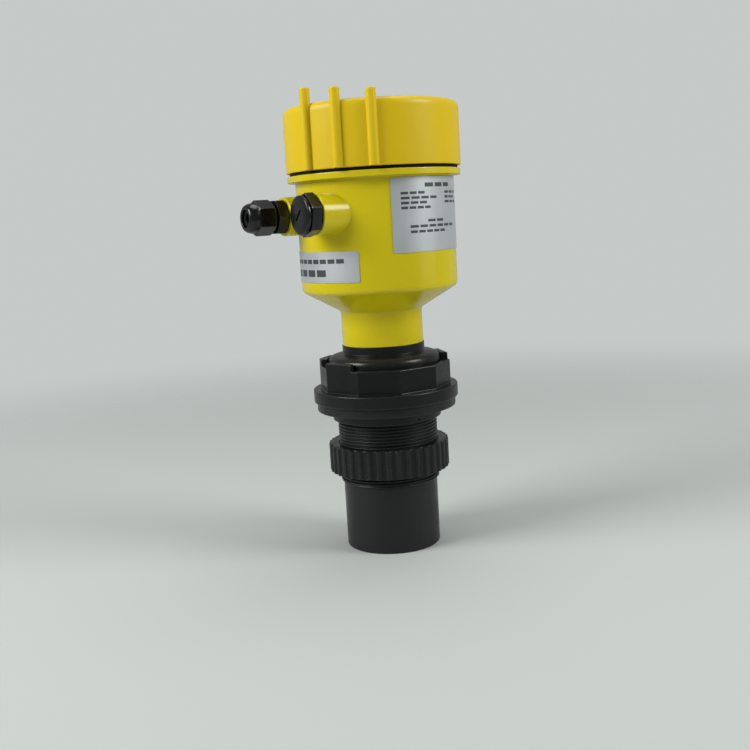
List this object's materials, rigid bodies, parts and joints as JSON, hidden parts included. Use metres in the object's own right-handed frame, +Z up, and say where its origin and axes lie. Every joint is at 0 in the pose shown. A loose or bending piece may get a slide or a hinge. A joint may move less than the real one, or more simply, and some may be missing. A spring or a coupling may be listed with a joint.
{
  "type": "ultrasonic level sensor",
  "caption": "Ultrasonic level sensor: a sealed probe on a threaded process fitting with a lock nut, and a round housing with a ribbed screw lid, a cable gland and a blanking plug.",
  "frame": {"origin": "middle of the flat sounding face at the probe's tip", "axes": "+Z runs up the probe's axis to the lid; the two cable entries point along -X, the gland at +Y and the plug at -Y"},
  "size_m": [0.1279, 0.102, 0.2691],
  "materials": {
    "housing_yellow": "gloss",
    "lid_yellow": "gloss",
    "fitting_black": "gloss",
    "gland_black": "gloss",
    "probe_grey": "satin",
    "face_grey": "satin",
    "seal_rubber": "matte",
    "label_silver": "satin",
    "ceramic": "matte",
    "filled_resin": "matte",
    "bead_black": "satin",
    "board_green": "satin",
    "brass": "satin",
    "steel": "satin",
    "transformer_tape": "satin",
    "capacitor_blue": "satin",
    "socket_cream": "satin",
    "socket_black": "satin",
    "ribbon_grey": "satin",
    "panel_grey": "satin",
    "display_glass": "gloss",
    "key_grey": "satin",
    "key_red": "satin",
    "terminal_green": "satin"
  },
  "bodies": {
    "sensor": {"probe_shell": "probe_grey", "face_disc": "face_grey", "piezo_disc": "ceramic", "backing_block": "filled_resin", "temperature_sensor": "bead_black", "potting": "filled_resin", "transducer_lead": "bead_black", "process_flange": "fitting_black", "neck_adapter": "fitting_black", "neck_o_ring": "seal_rubber", "housing_body": "housing_yellow", "rating_label": "label_silver", "notice_label": "label_silver", "gland_body": "gland_black", "gland_washer": "seal_rubber", "main_board": "board_green", "board_standoffs": "brass", "drive_transformer": "transformer_tape", "capacitors": "capacitor_blue", "controller_chip": "bead_black", "lead_socket": "socket_cream", "ribbon_cable": "ribbon_grey", "ribbon_sockets": "socket_black", "display_panel": "panel_grey", "panel_screws": "steel", "display_board": "board_green", "display_screws": "steel", "lcd_module": "socket_black", "lcd_glass": "display_glass", "key_switches": "bead_black", "terminal_block": "terminal_green", "terminal_screws": "steel"},
    "lid_seal": {"lid_seal": "seal_rubber"},
    "lid": {"lid": "lid_yellow"},
    "gland_seal": {"gland_seal": "seal_rubber"},
    "gland_nut": {"gland_dome_nut": "gland_black"},
    "plug_washer": {"plug_washer": "seal_rubber"},
    "plug": {"blanking_plug": "gland_black"},
    "lock_nut": {"lock_nut": "fitting_black"},
    "key_up": {"key_up": "key_grey"},
    "key_down": {"key_down": "key_grey"},
    "key_set": {"key_set": "key_red"}
  },
  "joints": [
    {"name": "lid_rise", "type": "slide", "parent": "sensor", "child": "lid_seal", "axis": [0, 0, 1], "range_m": [0, 0.0121]},
    {"name": "lid_turn", "type": "hinge", "parent": "lid_seal", "child": "lid", "pos_m": [0, 0, 0.225], "axis": [0, 0, 1], "range_deg": [0, 1080]},
    {"name": "gland_rise", "type": "slide", "parent": "sensor", "child": "gland_seal", "axis": [-1, 0, 0], "range_m": [0, 0.0061]},
    {"name": "gland_turn", "type": "hinge", "parent": "gland_seal", "child": "gland_nut", "pos_m": [-0.066, 0.0192, 0.2009], "axis": [-1, 0, 0], "range_deg": [0, 1440]},
    {"name": "plug_rise", "type": "slide", "parent": "sensor", "child": "plug_washer", "axis": [-1, 0, 0], "range_m": [0, 0.0076]},
    {"name": "plug_turn", "type": "hinge", "parent": "plug_washer", "child": "plug", "pos_m": [-0.055, -0.0192, 0.2009], "axis": [-1, 0, 0], "range_deg": [0, 1800]},
    {"name": "nut_travel", "type": "slide", "parent": "sensor", "child": "lock_nut", "axis": [0, 0, 1], "range_m": [-0.0067, 0.0139]},
    {"name": "key_up_press", "type": "slide", "parent": "sensor", "child": "key_up", "axis": [0, 0, -1], "range_m": [0, 0.0005], "stiffness_N_per_m": 600},
    {"name": "key_down_press", "type": "slide", "parent": "sensor", "child": "key_down", "axis": [0, 0, -1], "range_m": [0, 0.0005], "stiffness_N_per_m": 600},
    {"name": "key_set_press", "type": "slide", "parent": "sensor", "child": "key_set", "axis": [0, 0, -1], "range_m": [0, 0.0005], "stiffness_N_per_m": 600}
  ],
  "couplings": [
    {"joint": "lid_rise", "follows": "lid_turn", "m_per_rad": 0.00063662},
    {"joint": "gland_rise", "follows": "gland_turn", "m_per_rad": 0.00023873},
    {"joint": "plug_rise", "follows": "plug_turn", "m_per_rad": 0.00023873}
  ]
}
